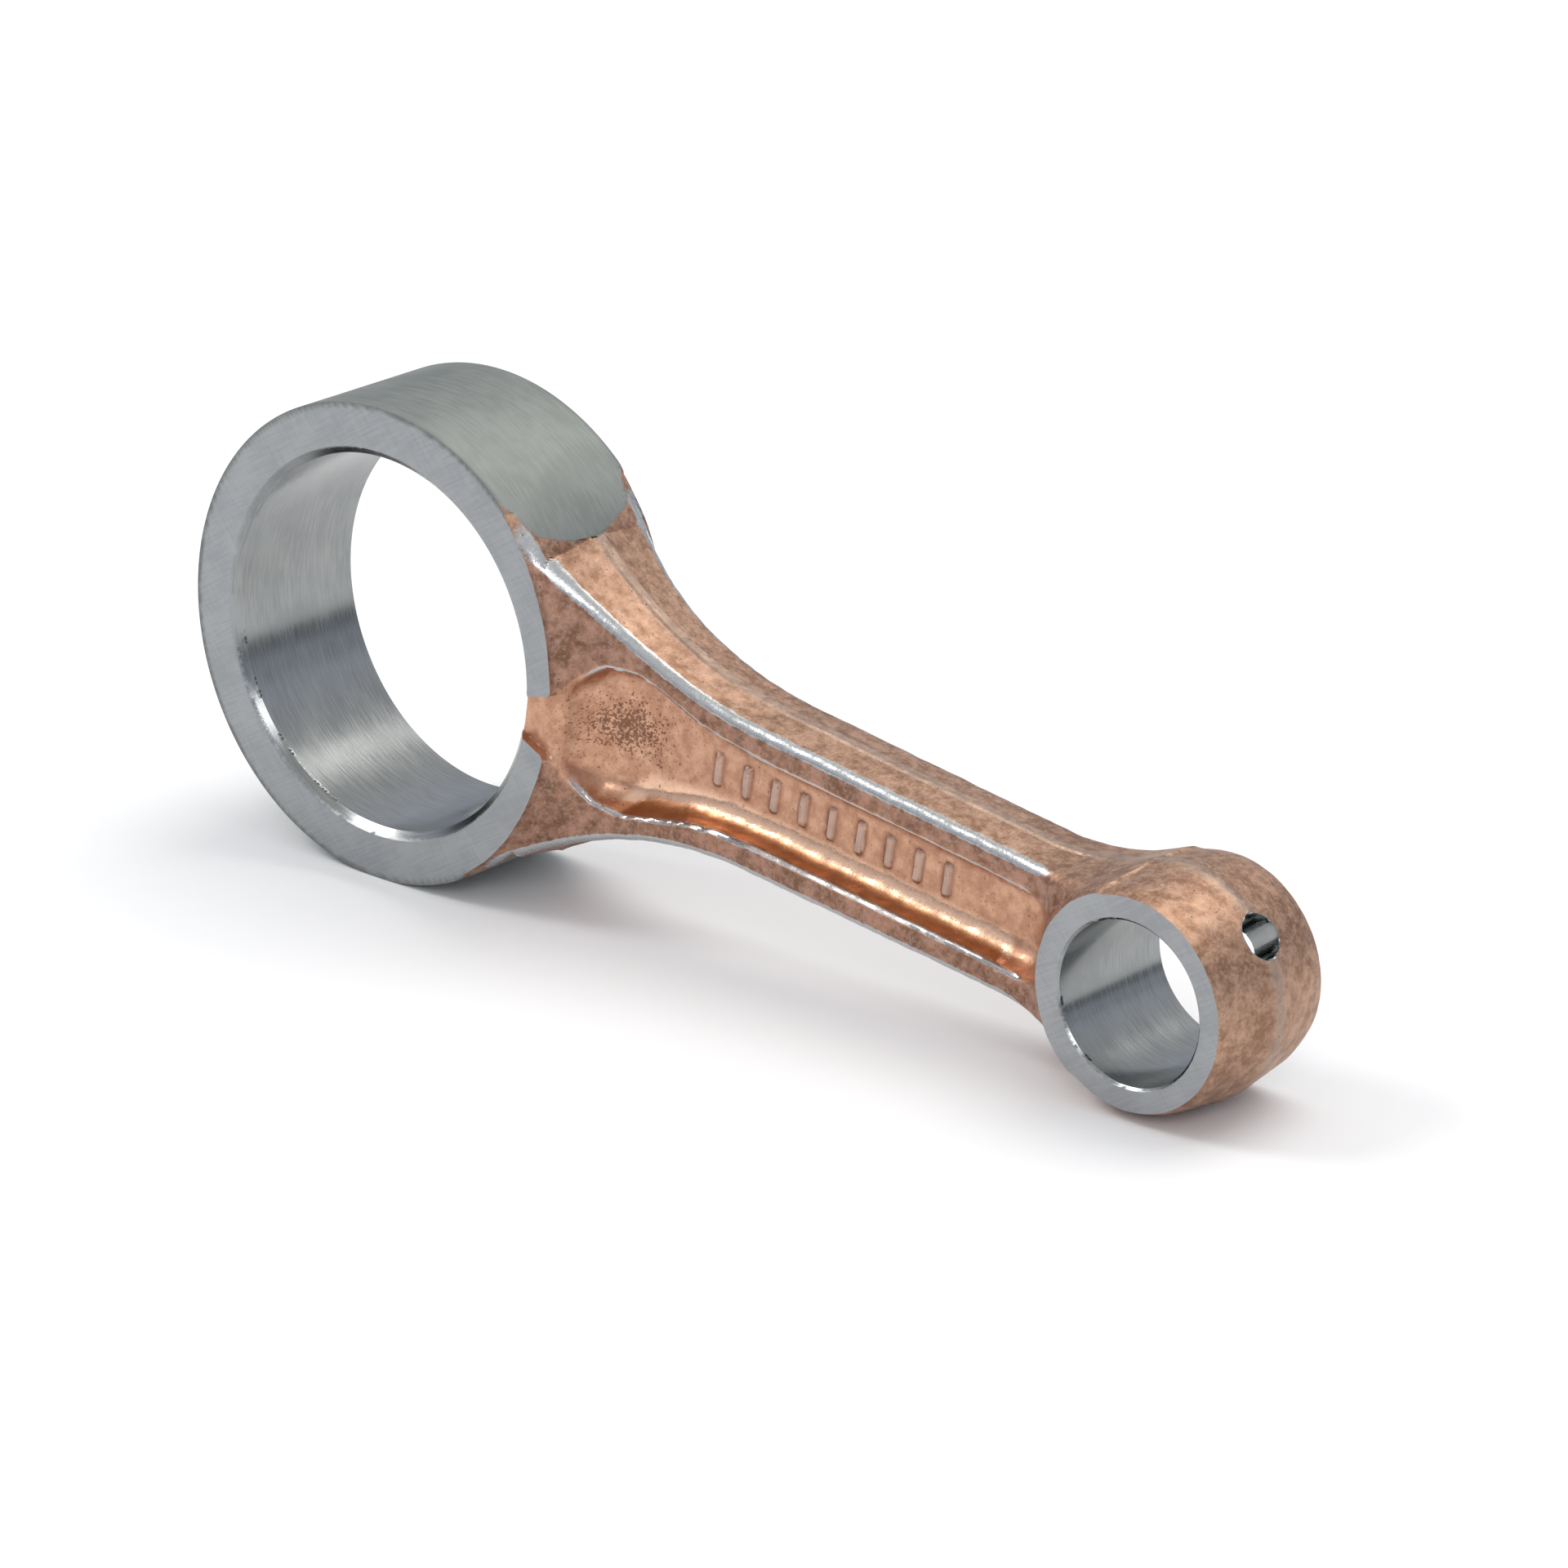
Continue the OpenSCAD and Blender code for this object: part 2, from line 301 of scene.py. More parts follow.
def oil_hole(x, y, z):
    sin, cos = math.sin(OIL["angle"]), math.cos(OIL["angle"])
    up, off = (x - LENGTH) * cos + z * sin, np.hypot(z * cos - (x - LENGTH) * sin, y)
    cone = (OIL["r"] + OIL["broken"] + up - EYE_RIDGE - off) / math.sqrt(2)
    return np.minimum(np.maximum(OIL["r"] - off, cone), up)


def machined(x, y, z):
    faces = np.abs(y) - own_half(x)
    bores = np.maximum(bore_cut(np.hypot(x, z), y, BIG_BORE, BIG_HALF, BIG_BROKEN),
                       bore_cut(np.hypot(x - LENGTH, z), y, EYE_BORE, EYE_HALF, EYE_BROKEN))
    return np.maximum(np.maximum(faces, rim_cut(x, z)), np.maximum(bores, oil_hole(x, y, z)))


def finished(x, y, z):
    return np.maximum(forged(x, y, z), machined(x, y, z))

print(f"rim turned to {2 * BIG_RIM:.1f} mm, bores {2 * BIG_BORE:.0f} and {2 * EYE_BORE:.0f} mm")

# %% [markdown]
# ## One surface over the finished shape
#
# The shape is sampled on a fine grid.  The grid starts at odd fractions of a millimetre, so that no flat
# face of the rod lies exactly on one of its planes.

# %% Sample the grid
CELL = 0.42
LOW = np.array([-BIG_RIM - 1.13, -BIG_HALF - 0.97, -BIG_RIM - 1.17])
HIGH = np.array([LENGTH + EYE_RIDGE + 1.2, BIG_HALF + 1.0, BIG_RIM + 1.2])
COUNT = np.ceil((HIGH - LOW) / CELL).astype(int)
grid_lines = [LOW[k] + CELL * np.arange(COUNT[k] + 1) for k in range(3)]
solid = finished(*np.meshgrid(*grid_lines, indexing="ij")) < 0
print(f"{solid.size} grid points, {int(solid.sum())} of them inside")

# %% [markdown]
# Wherever a grid edge passes through the skin, the crossing point and the skin's direction there are found.
# Each grid cell that the skin passes through then gets one point, placed where the flat patches from its
# own crossings meet.  On a sharp edge that point lands on the edge itself, so ground corners stay crisp
# while forged ones stay round.  Marching cubes would be simpler but would nibble every ground edge.

# %% Crossings of the grid
HALVINGS = 12             # steps that close in on each crossing
PROBE = 0.01              # how far to either side the skin's direction is measured
TINY = 1e-12              # keeps a division from failing where there is no direction


def at(points):
    return finished(points[:, 0], points[:, 1], points[:, 2])


def crossings(axis):
    """Grid edges along one axis that pass through the skin.

    Gives their lower ends, the crossing points and whether the lower end is inside.
    """
    step = np.eye(3, dtype=int)[axis]
    first = tuple(slice(0, n if k == axis else n + 1) for k, n in enumerate(COUNT))
    second = tuple(slice(step[k], None) for k in range(3))
    index = np.argwhere(solid[first] != solid[second])
    start = LOW + CELL * index
    begins = solid[index[:, 0], index[:, 1], index[:, 2]]
    near, far = np.zeros(len(index)), np.full(len(index), CELL)
    for _ in range(HALVINGS):
        middle = (near + far) / 2
        same = (at(start + middle[:, None] * step) < 0) == begins
        near, far = np.where(same, middle, near), np.where(same, far, middle)
    return index, start + ((near + far) / 2)[:, None] * step, begins


def direction(field, points, reach=PROBE):
    """Unit direction in which a field grows fastest."""
    grow = np.empty_like(points)
    for k in range(3):
        step = reach * np.eye(3)[k]
        ahead, behind = points + step, points - step
        grow[:, k] = field(*ahead.T) - field(*behind.T)
    return grow / np.maximum(np.linalg.norm(grow, axis=1, keepdims=True), TINY)

found = [crossings(axis) for axis in range(3)]
print("grid crossings", [len(index) for index, _, _ in found])

# %% [markdown]
# Four cells share each crossed grid edge.  They become the four corners of one small face, and the crossing
# is one of the votes for where each of the four points goes.

# %% Points and faces
cell_ids, votes, aims, quads = [], [], [], []
for axis, (index, points, begins) in enumerate(found):
    b, c = np.eye(3, dtype=int)[(axis + 1) % 3], np.eye(3, dtype=int)[(axis + 2) % 3]
    ring = [np.ravel_multi_index((index - shift).T, COUNT) for shift in (b + c, c, 0 * b, b)]
    ring = np.stack(ring, axis=1)
    quads.append(np.where(begins[:, None], ring, ring[:, ::-1]))
    cell_ids.append(ring.ravel())
    votes.append(np.repeat(points, 4, axis=0))
    aims.append(np.repeat(direction(finished, points), 4, axis=0))
cell_ids, votes, aims = np.concatenate(cell_ids), np.vstack(votes), np.vstack(aims)
cells, owner = np.unique(cell_ids, return_inverse=True)
quads = np.searchsorted(cells, np.vstack(quads))
print(f"{len(cells)} cells hold skin, {len(quads)} faces join them")

# %% [markdown]
# Each cell now has several flat patches, one per vote.  The point that lies nearest to all of them is found
# by least squares, starting from the votes' mean.  A small stiffness keeps it from running away along a
# flat face, and it may not leave its cell by more than a hair.

# %% Place the points
STIFFNESS, HAIR = 0.02, 0.02


def summed(values):
    return np.bincount(owner, weights=values)

share = np.bincount(owner)
centre = np.stack([summed(votes[:, k]) / share for k in range(3)], axis=1)
reach = np.einsum("ij,ij->i", aims, votes - centre[owner])
pull = np.stack([summed(aims[:, k] * reach) for k in range(3)], axis=1)
stiff = np.empty((len(cells), 3, 3))
for i in range(3):
    for j in range(3):
        stiff[:, i, j] = summed(aims[:, i] * aims[:, j]) + (STIFFNESS if i == j else 0)
move = np.linalg.solve(stiff, pull[:, :, None])[:, :, 0]
corner = LOW + CELL * np.stack(np.unravel_index(cells, COUNT), axis=1)
skin = np.clip(centre + move, corner - HAIR, corner + CELL + HAIR)

# no point stands above the turned rim or the ground faces
over_rim = np.hypot(skin[:, 0], skin[:, 2]) / BIG_RIM
over_rim = np.where(skin[:, 0] < BIG_BORE, np.maximum(over_rim, 1), 1)
skin /= np.stack([over_rim, np.ones(len(skin)), over_rim], axis=1)
skin[:, 1] = np.clip(skin[:, 1], -BIG_HALF, BIG_HALF)
print(f"{len(skin)} points, the furthest {np.abs(skin[:, 1]).max():.3f} mm from the parting plane")

# %% [markdown]
# ## Dividing steel from copper
#
# Where the dies' shape is the outer one the skin is copper, and where a cut went deeper it is bare steel.
# The border is where both agree.  Faces that straddle it are split there, so the border is a clean line.
# Points that lie almost on it are taken to be on it, which avoids sliver faces.

# %% Sort the faces
ON_BORDER = 0.035
triangles = np.vstack([quads[:, [0, 1, 2]], quads[:, [0, 2, 3]]])
lead = forged(*skin.T) - machined(*skin.T)
lead[np.abs(lead) < ON_BORDER] = 0
sign = np.sign(lead)[triangles]
plain = (sign >= 0).all(axis=1) & (sign > 0).any(axis=1)
bare = (sign <= 0).all(axis=1)
print(f"{plain.sum()} copper faces, {bare.sum()} bare ones, {(~plain & ~bare).sum()} astride the border")

# %% [markdown]
# A face astride the border is walked round corner by corner.  Each side that crosses the border adds a new
# point to both halves, and neighbours share that point, so no crack opens.

# %% Split along the border
extra, border = [], {}


def border_point(a, b):
    """Index of the point between a and b where copper meets steel."""
    key = (min(a, b), max(a, b))
    if key not in border:
        t = lead[a] / (lead[a] - lead[b])
        border[key] = len(skin) + len(extra)
        extra.append(skin[a] + t * (skin[b] - skin[a]))
    return border[key]

pieces_of = {1: [], -1: []}
for face in triangles[~plain & ~bare]:
    kept = {1: [], -1: []}
    for a, b in zip(face, np.roll(face, -1)):
        for sense in (1, -1):
            if lead[a] * sense >= 0:
                kept[sense].append(int(a))
        if lead[a] * lead[b] < 0:
            point = border_point(int(a), int(b))
            kept[1].append(point)
            kept[-1].append(point)
    for sense in (1, -1):
        loop = kept[sense]
        pieces_of[sense] += [(loop[0], loop[k], loop[k + 1]) for k in range(1, len(loop) - 1)]
copper_faces = np.vstack([triangles[plain], np.array(pieces_of[1]).reshape(-1, 3)]).astype(int)
steel_faces = np.vstack([triangles[bare], np.array(pieces_of[-1]).reshape(-1, 3)]).astype(int)
skin = np.vstack([skin, np.array(extra).reshape(-1, 3)])
print(f"{len(copper_faces)} copper and {len(steel_faces)} steel triangles")

# %% [markdown]
# The coat is made as a closed shell: an outer skin, and the same skin moved inwards by the coat's
# thickness, joined along the border.  The forging is closed in the same way by its own skin just under it.

# %% Close both bodies
COAT_DEPTH = 0.9          # share of the plating's thickness that the coat fills
edge_points = np.intersect1d(copper_faces, steel_faces)
inward = direction(forged, skin)
inward[edge_points] = 0
coat_inside = skin - COAT_DEPTH * PLATING * inward
under_coat = skin - PLATING * inward


def compact(points, faces):
    """Only the points that the faces use."""
    used, faces = np.unique(faces, return_inverse=True)
    return points[used], faces.reshape(-1, 3)

twin = np.arange(len(skin)) + len(skin)
twin[edge_points] = edge_points
coat_points, coat_faces = compact(
    np.vstack([skin, coat_inside]), np.vstack([copper_faces, twin[copper_faces][:, ::-1]]))
steel_points, body_faces = compact(
    np.vstack([skin, under_coat]), np.vstack([steel_faces, twin[copper_faces]]))
print(f"coat {len(coat_faces)} faces, forging {len(body_faces)} faces")

# %% [markdown]
# ## Measuring the skin for the finishes
#
# Wear, colour and polish on a real rod follow its shape: edges rub bright, the pocket keeps its fresh
# copper, and the sides darken.  Each is measured here once per point and stored with the mesh, so the
# finishes only have to read it.

# %% Measures
PITS = dict(x=31.5, z=0.6, length=4.2, height=3.2)
TURNED_END = 24.0
ACROSS_LIMIT = 1.2


def within(value, begin, full, fading, end):
    """1 from full to fading, and 0 before begin and after end."""
    return ease(value, begin, full) * (1 - ease(value, fading, end))


def close_to(distance, touching, away):
    """1 where a surface lies on a shape and 0 where it is clear of it."""
    return 1 - ease(np.abs(distance), touching, away)


def skin_measures(points):
    x, y, z = points.T
    sides, faces, hollow = forged_sides(x, y, z), forged_faces(x, y, z), pocket_shape(x, y, z)
    off_edge = np.maximum(np.abs(sides), np.abs(faces))
    off_rim = np.maximum(np.abs(hollow), np.abs(faces))
    bars = 1 - ease(raised_bars(x, y, z), 0.1, 0.5)
    high = ease(-y - WEB_HALF, 0.4 * MARKS["rise"], 0.9 * MARKS["rise"])
    pitted = np.exp(-((x - PITS["x"]) / PITS["length"]) ** 2 - ((z - PITS["z"]) / PITS["height"]) ** 2)
    across = np.clip(z / np.interp(x, POCKET_X, POCKET_HALF), -ACROSS_LIMIT, ACROSS_LIMIT)
    return dict(
        turned=close_to(np.hypot(x, z) - BIG_RIM, 0.3, 0.6) * (x < TURNED_END),
        edge=close_to(off_edge, 0.2, 1.35) * within(x, 14, 22, 86, 95),
        rim=close_to(off_rim, 0.15, 0.95) * within(x, 24, 30, 88, 91),
        upper=ease(z, -1.0, 1.0),
        pocket=close_to(hollow, 0.15, 0.5),
        side=close_to(sides, 0.2, 0.8),
        land=close_to(y, 0.5, 1.1),
        # this measure also places the pocket's painted highlight and painted shade
        across=across * within(x, 29, 35, 84, 88),
        spots=pitted * (hollow > -0.5),
        feet=bars * (1 - high),
        tops=bars * high,
        face=close_to(own_half(x) - np.abs(y), 0.02, 0.06),
    )

print(", ".join(f"{name} {values[0]:.2f}" for name, values in skin_measures(skin[:1]).items()))

# %% [markdown]
# ## Making the two meshes
#
# Points and faces are handed to Blender in whole arrays, which is far quicker than one by one.  The mesh is
# then turned from the rod's own frame to the way it lies.  Ground corners are shaded sharp, forged ones
# smooth.

# %% Forging and coat
SHARP_FROM = math.radians(34)


def make_piece(name, points, faces, node):
    """A smooth-shaded mesh in the row frame that stands for one CAD node."""
    mesh = bpy.data.meshes.new(name)
    mesh.vertices.add(len(points))
    mesh.vertices.foreach_set("co", (points * MM).ravel())
    mesh.loops.add(faces.size)
    mesh.loops.foreach_set("vertex_index", faces.ravel().astype(np.int32))
    mesh.polygons.add(len(faces))
    mesh.polygons.foreach_set("loop_start", np.arange(0, faces.size, 3, dtype=np.int32))
    mesh.update(calc_edges=True)
    for measure, values in skin_measures(points).items():
        layer = mesh.attributes.new(measure, "FLOAT", "POINT")
        layer.data.foreach_set("value", values.astype(np.float32))
    mesh.transform(Matrix.Rotation(LIE, 4, "Y"))
    mesh.shade_smooth()
    mesh.set_sharp_from_angle(angle=SHARP_FROM)
    mesh.validate()
    piece = bpy.data.objects.new(name, mesh)
    bpy.context.scene.collection.objects.link(piece)
    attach(piece, "root")
    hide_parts(node)
    print(name, len(mesh.vertices), "points")
    return piece

forging = make_piece("forging", steel_points, body_faces, "rod_forging")
coat = make_piece("copper_coat", coat_points, coat_faces, "copper_plating")

# %% [markdown]
# ## Writing finishes as sums
#
# A finish is a graph of small steps.  The class below wraps one output of such a step so that ordinary
# arithmetic builds the graph, which keeps each finish readable as a few lines.

# %% Wire
class Wire:
    """One value inside a node graph; arithmetic on it adds a Math step."""

    def __init__(self, kit, socket):
        self.kit, self.socket = kit, socket

    def __add__(self, other):
        return self.kit.math("ADD", self, other)

    def __sub__(self, other):
        return self.kit.math("SUBTRACT", self, other)

    def __rsub__(self, other):
        return self.kit.math("SUBTRACT", other, self)

    def __mul__(self, other):
        return self.kit.math("MULTIPLY", self, other)

    __radd__, __rmul__ = __add__, __mul__

print("wires add, subtract and multiply")

# %% [markdown]
# Every other node comes from one method, step, which takes its type, then its settings, then what goes into
# its sockets.  A colour ramp's stops are settings too.  The same kit builds the surroundings' light later.

# %% Node kit
class Kit:
    """The node graph of a material or of the surroundings."""

    def __init__(self, block, shader):
        self.block = block
        self.block.use_nodes = True
        self.tree = block.node_tree
        self.shader = self.tree.nodes[shader]

    def step(self, kind, settings=None, inputs=None, output=0):
        node = self.tree.nodes.new(kind)
        for key, value in (settings or {}).items():
            if key == "stops":
                self.set_stops(node.color_ramp.elements, value)
            else:
                setattr(node, key, value)
        for key, value in (inputs or {}).items():
            self.feed(node.inputs[key], value)
        return Wire(self, node.outputs[output])

    def set_stops(self, marks, stops):
        marks[0].position, marks[0].color = stops[0]
        marks[1].position, marks[1].color = stops[-1]
        for place, colour in stops[1:-1]:
            marks.new(place).color = colour

    def feed(self, socket, value):
        if isinstance(value, Wire):
            self.tree.links.new(value.socket, socket)
        else:
            socket.default_value = value

    def math(self, operation, a, b=0.0):
        return self.step("ShaderNodeMath", {"operation": operation}, {0: a, 1: b})

    def wear(self, **sockets):
        """Feed the shader's own sockets."""
        for key, value in sockets.items():
            self.feed(self.shader.inputs[key.replace("_", " ")], value)

print("node kit ready")

# %% [markdown]
# A finish adds the few steps that every surface here uses: reading a stored measure, blending colours, and
# noise of a known size in millimetres.  The noise is laid out in the rod's own frame, so a stretch along
# one of its axes turns it into grinding or turning lines.

# %% Finish kit
PER_METRE = 1 / MM


class Finish(Kit):
    """A material under construction."""

    def __init__(self, name):
        super().__init__(bpy.data.materials.new(name), "Principled BSDF")

    def measure(self, name):
        return self.step("ShaderNodeAttribute", {"attribute_name": name}, output="Fac")

    def blend(self, amount, a, b):
        return self.step("ShaderNodeMix", {"data_type": "RGBA"}, {0: amount, 6: a, 7: b}, output=2)

    def between(self, value, low, high):
        """0 below low, 1 above high."""
        return self.step("ShaderNodeMapRange", {"interpolation_type": "SMOOTHSTEP"},
                         {"Value": value, "From Min": low, "From Max": high})

    def rod_space(self, stretch, turn):
        """Position in millimetres in the rod's own frame, turned about the bores and stretched."""
        own = self.step("ShaderNodeMapping", {}, {
            "Vector": self.step("ShaderNodeTexCoord", output="Object"),
            "Rotation": (0, -LIE + turn, 0), "Scale": (PER_METRE, PER_METRE, PER_METRE)})
        return self.step("ShaderNodeVectorMath", {"operation": "MULTIPLY"}, {0: own, 1: stretch})

    def grain(self, size, detail=3.0, rough=0.55, stretch=(1, 1, 1), turn=0.0):
        """Noise with features of about the given size in millimetres."""
        return self.step("ShaderNodeTexNoise", {}, {
            "Vector": self.rod_space(stretch, turn),
            "Scale": 1 / size, "Detail": detail, "Roughness": rough})

    def relief(self, height, depth_mm, strength):
        """Fine relief of the given depth."""
        self.wear(Normal=self.step(
            "ShaderNodeBump", {}, {"Height": height, "Distance": depth_mm * MM, "Strength": strength}))

print("finish kit ready")

# %% [markdown]
# ## Ground and honed steel
#
# The side faces come off a surface grinder with a faint crossed scratch pattern.  The bores are honed, so
# their lines run round the axis and the surface is glossier.  Noise stretched along one direction gives
# each kind of line, and the stored measure of the faces picks between them.

# %% Lines in the steel
steel = Finish("ground_steel")
on_face, turned = steel.measure("face"), steel.measure("turned")
scratch = steel.grain(0.22, 2.0, 0.5, (0.06, 1, 1), math.radians(38))
counter_scratch = steel.grain(0.24, 2.0, 0.5, (0.07, 1, 1), math.radians(-42))
rings = steel.grain(0.16, 3.0, 0.6, (0.05, 1, 0.05))
hatch = scratch * 0.6 + counter_scratch * 0.4
tool_lines = hatch * on_face + rings * (1 - on_face)
print("ground faces have two scratch directions, bores have rings")

# %% [markdown]
# Bare steel is a plain grey metal.  The lines darken it a little, the turned rim is duller and faintly
# greenish from the oil on it, and the ground faces are the palest.

# %% Steel
DARK_STEEL, PALE_STEEL = (0.25, 0.26, 0.265, 1), (0.43, 0.44, 0.44, 1)
HONED, GROUND, TURNED = (0.26, 0.27, 0.265, 1), (0.36, 0.37, 0.385, 1), (0.235, 0.255, 0.225, 1)
cloud = steel.grain(5.0, 2.0)
lined = steel.blend(steel.between(cloud * 0.35 + tool_lines * 0.65, 0.38, 0.62), DARK_STEEL, PALE_STEEL)
by_tool = steel.blend(turned, steel.blend(on_face, HONED, GROUND), TURNED)
steel.wear(
    Base_Color=steel.blend(0.62, lined, by_tool),
    Metallic=1.0,
    Roughness=0.17 + on_face * 0.25 + turned * 0.33 + steel.between(tool_lines, 0.3, 0.7) * 0.07)
steel.relief(tool_lines, 0.005, 0.5)
forging.data.materials.append(steel.block)
print(steel.block.name, len(steel.tree.nodes), "nodes")

# %% [markdown]
# ## Copper plate
#
# Plating on a blasted forging is matt and mottled.  The faces are brown where they have been handled, with
# a paler bloom in specks, and the drafted sides are paler and pinker.  The trimmed strip along the parting
# plane is greyer, because the coat is thin there.

# %% Handled copper
FACES_DARK, FACES_PALE = (0.20, 0.10, 0.06, 1), (0.45, 0.25, 0.175, 1)
SIDES_DARK, SIDES_PALE = (0.30, 0.165, 0.10, 1), (0.56, 0.365, 0.255, 1)
BLOOM, THIN_COAT = (0.50, 0.38, 0.33, 1), (0.42, 0.36, 0.31, 1)
copper = Finish("copper_plate")
side = copper.measure("side")
broad, mottle = copper.grain(7.0, 2.0), copper.grain(1.5, 4.0, 0.65)
speck, fine = copper.grain(0.45, 3.0, 0.6), copper.grain(0.28, 2.0)
faces = copper.blend(copper.between(mottle * 0.7 + broad * 0.3, 0.36, 0.64), FACES_DARK, FACES_PALE)
faces = copper.blend(copper.between(speck, 0.46, 0.7) * 0.5, faces, BLOOM)
sides = copper.blend(copper.between(mottle * 0.8 + speck * 0.5 + broad * 0.3, 0.6, 1.0),
                     SIDES_DARK, SIDES_PALE)
coat_tone = copper.blend(side * 0.75, faces, sides)
coat_tone = copper.blend(side * copper.measure("land") * 0.4, coat_tone, THIN_COAT)
print("mottling at 7, 1.5, 0.45 and 0.28 mm")

# %% [markdown]
# Down in the pocket the copper has been spared and is still fresh.  Along the lower side of its floor a
# paler band is painted in as a highlight, and the surface there is made glossier, while painted shade
# darkens the foot of each wall.  Both run along the pocket, so they are set by how far across it a point
# lies: -1 at the lower wall and 1 at the upper one.

# %% Copper in the pocket
FRESH_DARK, FRESH_PALE = (0.48, 0.25, 0.155, 1), (0.68, 0.40, 0.265, 1)
# a paler colour painted in as a highlight, and a dark one painted in as shade
PAINTED_HIGHLIGHT, PAINTED_SHADE = (1.0, 0.66, 0.46, 1), (0.40, 0.165, 0.06, 1)
pocket, across = copper.measure("pocket"), copper.measure("across")
below = across * -1.0
# band along the lower side of the floor: a painted highlight in the colour, and glossier
gloss_and_painted_highlight = copper.between(below, 0.42, 0.62) * copper.between(across, -0.90, -0.74)
# painted shade at the foot of each wall, strongest at the lower one
painted_wall_shade = copper.math("MAXIMUM", copper.between(below, 0.76, 0.88), copper.between(across, 0.80, 0.94) * 0.6)
pocket_tone = copper.blend(copper.between(mottle, 0.3, 0.7), FRESH_DARK, FRESH_PALE)
# painted highlight
pocket_tone = copper.blend(gloss_and_painted_highlight * 0.75, pocket_tone, PAINTED_HIGHLIGHT)
# painted shade
pocket_tone = copper.blend(painted_wall_shade * 0.85, pocket_tone, PAINTED_SHADE)
coat_tone = copper.blend(pocket * 0.9, coat_tone, pocket_tone)
# the paler band below is a painted highlight and the dark feet are painted shade
print("pocket polished below, stained at both feet")

# %% [markdown]
# The raised bars are darker round their feet and are rubbed pale on top.  A patch of small dark pits lies
# on the pocket floor by the big end, where the coat has started to corrode.

# %% Bars and pits
BAR_FOOT_DARK, RUBBED, PITTED = (0.22, 0.085, 0.045, 1), (0.66, 0.50, 0.42, 1), (0.15, 0.07, 0.045, 1)
# darker round the feet of the bars
coat_tone = copper.blend(copper.measure("feet") * 0.75, coat_tone, BAR_FOOT_DARK)
coat_tone = copper.blend(copper.measure("tops") * 0.6, coat_tone, RUBBED)
pits = copper.between(fine * 0.7 + speck * 0.3 + copper.measure("spots") * 0.2, 0.62, 0.68)
coat_tone = copper.blend(pits * 0.8, coat_tone, PITTED)
print("bars and pits coloured")

# %% [markdown]
# The coat is rubbed through to grey steel along the flange edges, most of all on the upper front one, and
# thinly along the pocket rims.  The mottling is added before the limit is drawn, which frays its outline.

# %% Worn copper
BARE = (0.50, 0.51, 0.51, 1)
edge_worn = copper.between(
    copper.measure("edge") + mottle * 0.5 + speck * 0.2 + copper.measure("upper") * 0.12, 0.84, 1.04)
rim_worn = copper.between(copper.measure("rim") + mottle * 0.6, 0.92, 1.15) * 0.8
worn = copper.math("MAXIMUM", edge_worn, rim_worn)
gloss = pocket * 0.12 + pocket * gloss_and_painted_highlight * 0.12 + worn * 0.2
copper.wear(
    Base_Color=copper.blend(worn, coat_tone, BARE),
    Metallic=0.93,
    Roughness=0.44 - gloss + copper.between(speck, 0.4, 0.7) * 0.14)
grit = (mottle * 0.5 + speck * 0.5 + fine * 0.25) * (1 - pocket * 0.45)
copper.relief(grit - pits * 0.3, 0.09, 0.6)
coat.data.materials.append(copper.block)
print(copper.block.name, len(copper.tree.nodes), "nodes")

# %% [markdown]
# ## Floor
#
# The rod lies on a large sheet of white card.  It reaches far enough that its edge is never in view, and
# has only a trace of tone.

# %% Floor
HALF_SHEET = 3.0
floor_mesh = bpy.data.meshes.new("floor")
corners = [(x * HALF_SHEET, y * HALF_SHEET, cad_low.z) for x, y in ((-1, -1), (1, -1), (1, 1), (-1, 1))]
floor_mesh.from_pydata(corners, [], [(0, 1, 2, 3)])
floor = bpy.data.objects.new("floor", floor_mesh)
bpy.context.scene.collection.objects.link(floor)
card = Finish("pale_floor")
card.wear(Base_Color=card.blend(card.grain(3.0), (0.90, 0.90, 0.905, 1), (0.915, 0.915, 0.92, 1)),
          Roughness=0.75)
floor.data.materials.append(card.block)
print(f"floor at {cad_low.z / MM:.2f} mm")

# %% [markdown]
# ## Lamps
#
# Three round soft lamps hang about two metres off: a wide one above and behind, one to the left and a weak
# one low on the right.  Their size makes the shadows faint, dark only right under the two ends.

# %% Lamps
middle = (cad_low + cad_high) / 2


def lamp(name, offset, size, power, colour):
    """A round lamp at some offset from the rod, facing it."""
    data = bpy.data.lights.new(name, "AREA")
    data.shape, data.size, data.energy, data.color = "DISK", size, power, colour
    thing = bpy.data.objects.new(name, data)
    thing.location = middle + Vector(offset)
    thing.rotation_mode = "QUATERNION"
    thing.rotation_quaternion = (-Vector(offset)).to_track_quat("-Z", "Y")
    bpy.context.scene.collection.objects.link(thing)
    print(name, "lamp,", power, "W")

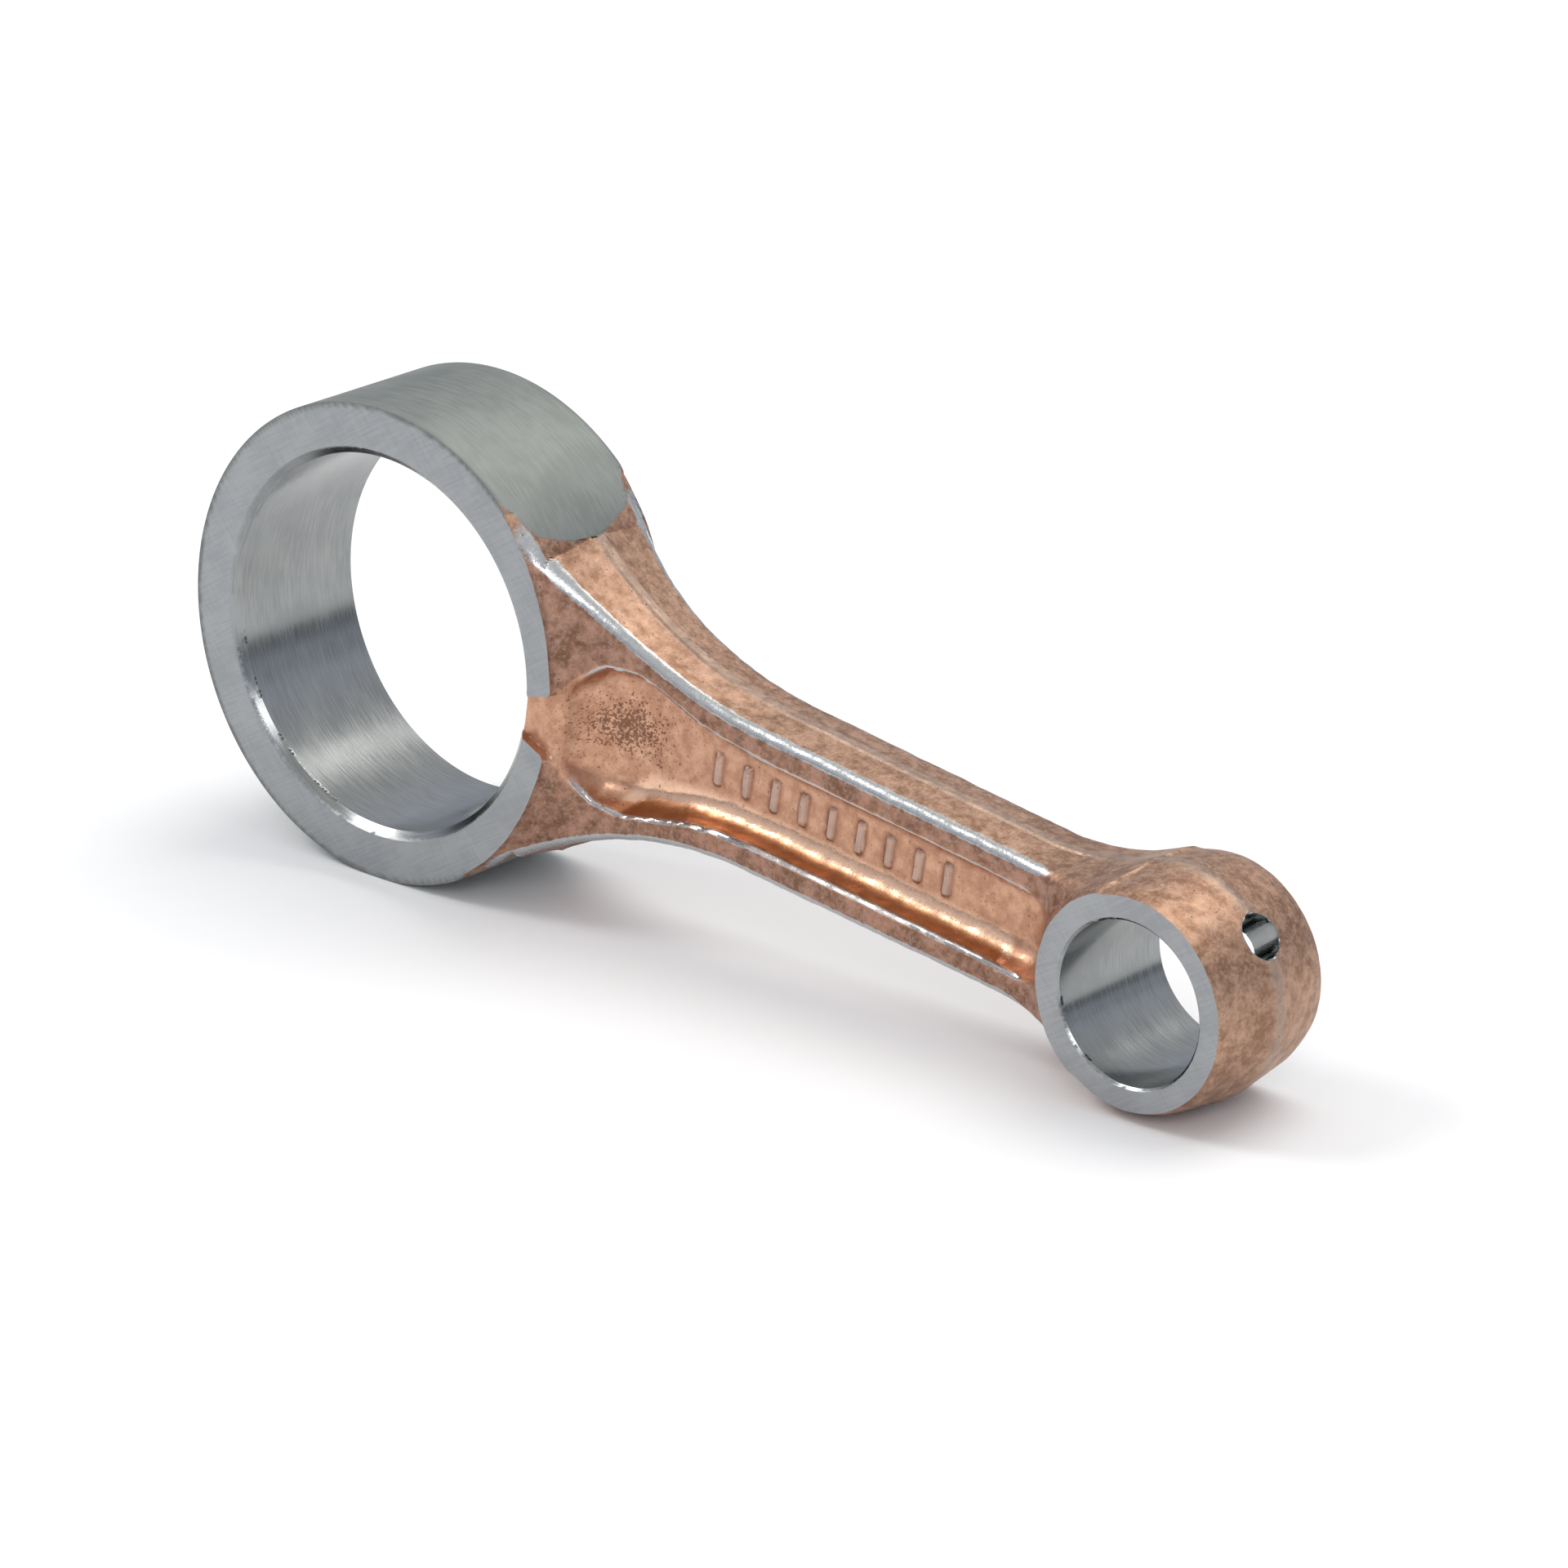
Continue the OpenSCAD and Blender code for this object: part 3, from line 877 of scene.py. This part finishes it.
lamp("over", (0.3, 1.0, 2.6), 2.2, 30.0, (1, 0.98, 0.94))
lamp("left", (-1.7, -1.0, 2.0), 1.0, 20.0, (1, 0.985, 0.96))
lamp("right", (1.6, -2.0, 1.6), 1.0, 12.0, (1, 1, 1))

# %% [markdown]
# The rest of the light comes from a white tent all round.  Polished steel shows whatever is around it, so
# the tent is darker towards its foot, with a few steps that draw soft bands in the bores and on the rim.
# The ramp reads height above the floor's horizon.

# %% Tent
GREYS = ((0.10, 0.34), (0.16, 0.80), (0.30, 0.72), (0.34, 0.95))
COOL = (0.92, 0.98, 1.12)
bands = [(height, (*(grey * tint for tint in COOL), 1)) for height, grey in GREYS]
tent = Kit(bpy.data.worlds.new("tent"), "Background")
everywhere = tent.step("ShaderNodeTexCoord", output="Generated")
height = tent.step("ShaderNodeSeparateXYZ", {}, {0: everywhere}, output="Z")
stops = [(0.0, (0.30, 0.31, 0.33, 1)), *bands, (0.75, (1.0, 1.0, 1.0, 1))]
tent.wear(Color=tent.step("ShaderNodeValToRGB", {"stops": stops}, {0: height}), Strength=0.74)
bpy.context.scene.world = tent.block
bpy.context.scene.view_settings.view_transform = "Standard"
print(len(stops), "stops from floor to roof")

# %% [markdown]
# ## Camera
#
# The camera looks down on the marked side from the front, through a long lens from about three quarters of
# a metre away, so the two ends are drawn with little perspective.

# %% Camera
camera_data = bpy.data.cameras.new("camera")
camera_data.lens, camera_data.sensor_width = 166.4, 36.0
camera_data.clip_start, camera_data.clip_end = 0.05, 20.0
camera = bpy.data.objects.new("camera", camera_data)
camera.location = Vector((517.29, -554.51, 265.83)) * MM
aim = Vector((50.60, 0.0, -6.21)) * MM
upright = (aim - camera.location).to_track_quat("-Z", "Y")
camera.rotation_mode = "QUATERNION"
camera.rotation_quaternion = upright @ Matrix.Rotation(math.radians(0.783), 3, "Z").to_quaternion()
bpy.context.scene.collection.objects.link(camera)
bpy.context.scene.camera = camera
print(f"camera {(aim - camera.location).length:.3f} m from its aim")
